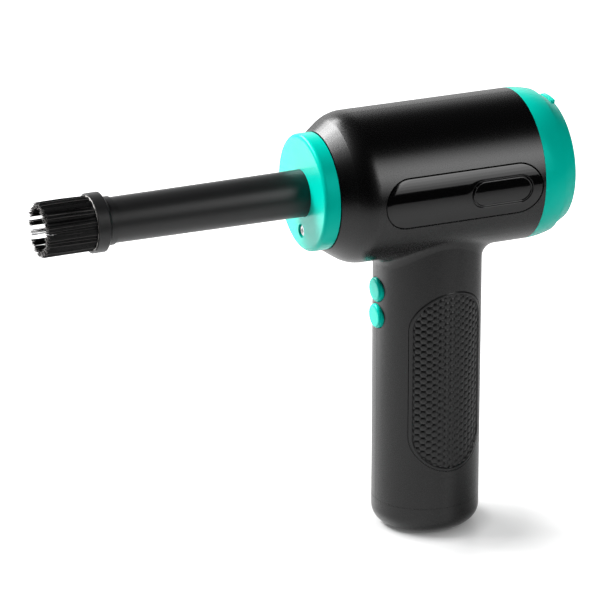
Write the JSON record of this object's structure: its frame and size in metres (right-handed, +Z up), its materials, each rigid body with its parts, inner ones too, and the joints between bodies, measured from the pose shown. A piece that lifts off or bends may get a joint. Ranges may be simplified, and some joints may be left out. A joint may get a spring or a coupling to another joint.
{
  "type": "handheld vacuum cleaner",
  "caption": "Pistol-shaped cordless handheld vacuum and duster with slim nozzle, round brush, twist-off rear filter cover, push buttons and grip inlays.",
  "frame": {"origin": "centre of the handle's flat base, on the surface that it stands on", "axes": "+Z up along the handle, X along the barrel with the nozzle towards -X and the filter cover towards +X, -Y the left side"},
  "size_m": [0.2373, 0.0668, 0.193],
  "materials": {
    "black_satin": "satin black moulded plastic",
    "black_gloss": "gloss black moulded plastic",
    "teal_plastic": "semi-gloss teal plastic",
    "rubber_black": "soft black rubber",
    "bristle": "black nylon bristle",
    "screw_steel": "bright plated steel",
    "motor_steel": "drawn steel",
    "magnet": "plated magnet",
    "copper": "enamelled copper wire",
    "grey_plastic": "grey moulded plastic",
    "foam": "open-cell filter foam",
    "cell_wrap": "shrink-wrapped cell",
    "nickel": "nickel strip",
    "board_green": "circuit board",
    "component": "electronic parts",
    "wire_red": "insulated lead"
  },
  "bodies": {
    "housing": {"housing_left": "black_satin", "housing_right": "black_satin", "housing_screws": "screw_steel", "bottom_cap": "black_satin", "front_ring": "teal_plastic", "front_ring_screw": "screw_steel", "rear_ring": "teal_plastic", "fan_duct": "grey_plastic", "fan_inlet": "grey_plastic", "diffuser": "grey_plastic", "motor_screws": "screw_steel", "motor_can": "motor_steel", "motor_end_bell": "grey_plastic", "bearing_front": "motor_steel", "bearing_rear": "motor_steel", "stator_core": "motor_steel", "motor_coils": "copper", "motor_mount_front": "rubber_black", "motor_mount_rear": "rubber_black", "air_funnel": "grey_plastic", "battery_cells": "cell_wrap", "cell_straps": "nickel", "cell_holder_bottom": "grey_plastic", "cell_holder_top": "grey_plastic", "control_board": "board_green", "board_components": "component", "tact_switches": "component", "charge_board": "board_green", "usb_socket": "nickel", "side_panel_left": "black_gloss", "side_panel_right": "black_gloss", "badge_left": "black_gloss", "badge_right": "black_gloss", "grip_left": "rubber_black", "grip_right": "rubber_black", "battery_wires": "wire_red", "charge_wires": "wire_red", "motor_wires": "wire_red"},
    "nozzle": {"nozzle_tube": "black_satin", "nozzle_seal": "rubber_black"},
    "brush": {"brush_collar": "black_gloss", "brush_bristles": "bristle"},
    "rear_cover": {"rear_cover": "teal_plastic", "filter_foam": "foam", "filter_retainer": "grey_plastic"},
    "rotor": {"motor_shaft": "motor_steel", "rotor_magnet": "magnet", "impeller": "grey_plastic", "impeller_nut": "screw_steel"},
    "button_upper": {"button_upper": "teal_plastic", "switch_plunger_upper": "grey_plastic"},
    "button_lower": {"button_lower": "teal_plastic", "switch_plunger_lower": "grey_plastic"}
  },
  "joints": [
    {"name": "nozzle_pull", "type": "slide", "parent": "housing", "child": "nozzle", "axis": [-1, 0, 0], "range_m": [0, 0.02]},
    {"name": "brush_pull", "type": "slide", "parent": "nozzle", "child": "brush", "axis": [-1, 0, 0], "range_m": [0, 0.008]},
    {"name": "cover_twist", "type": "hinge", "parent": "housing", "child": "rear_cover", "pos_m": [0.0508, 0, 0.16], "axis": [1, 0, 0], "range_deg": [0, 30]},
    {"name": "fan_spin", "type": "hinge", "parent": "housing", "child": "rotor", "pos_m": [0.0043, 0, 0.16], "axis": [1, 0, 0], "continuous": true},
    {"name": "upper_press", "type": "slide", "parent": "housing", "child": "button_upper", "axis": [1, 0, 0], "range_m": [0, 0.0008], "stiffness_N_per_m": 400},
    {"name": "lower_press", "type": "slide", "parent": "housing", "child": "button_lower", "axis": [1, 0, 0], "range_m": [0, 0.0008], "stiffness_N_per_m": 400}
  ]
}
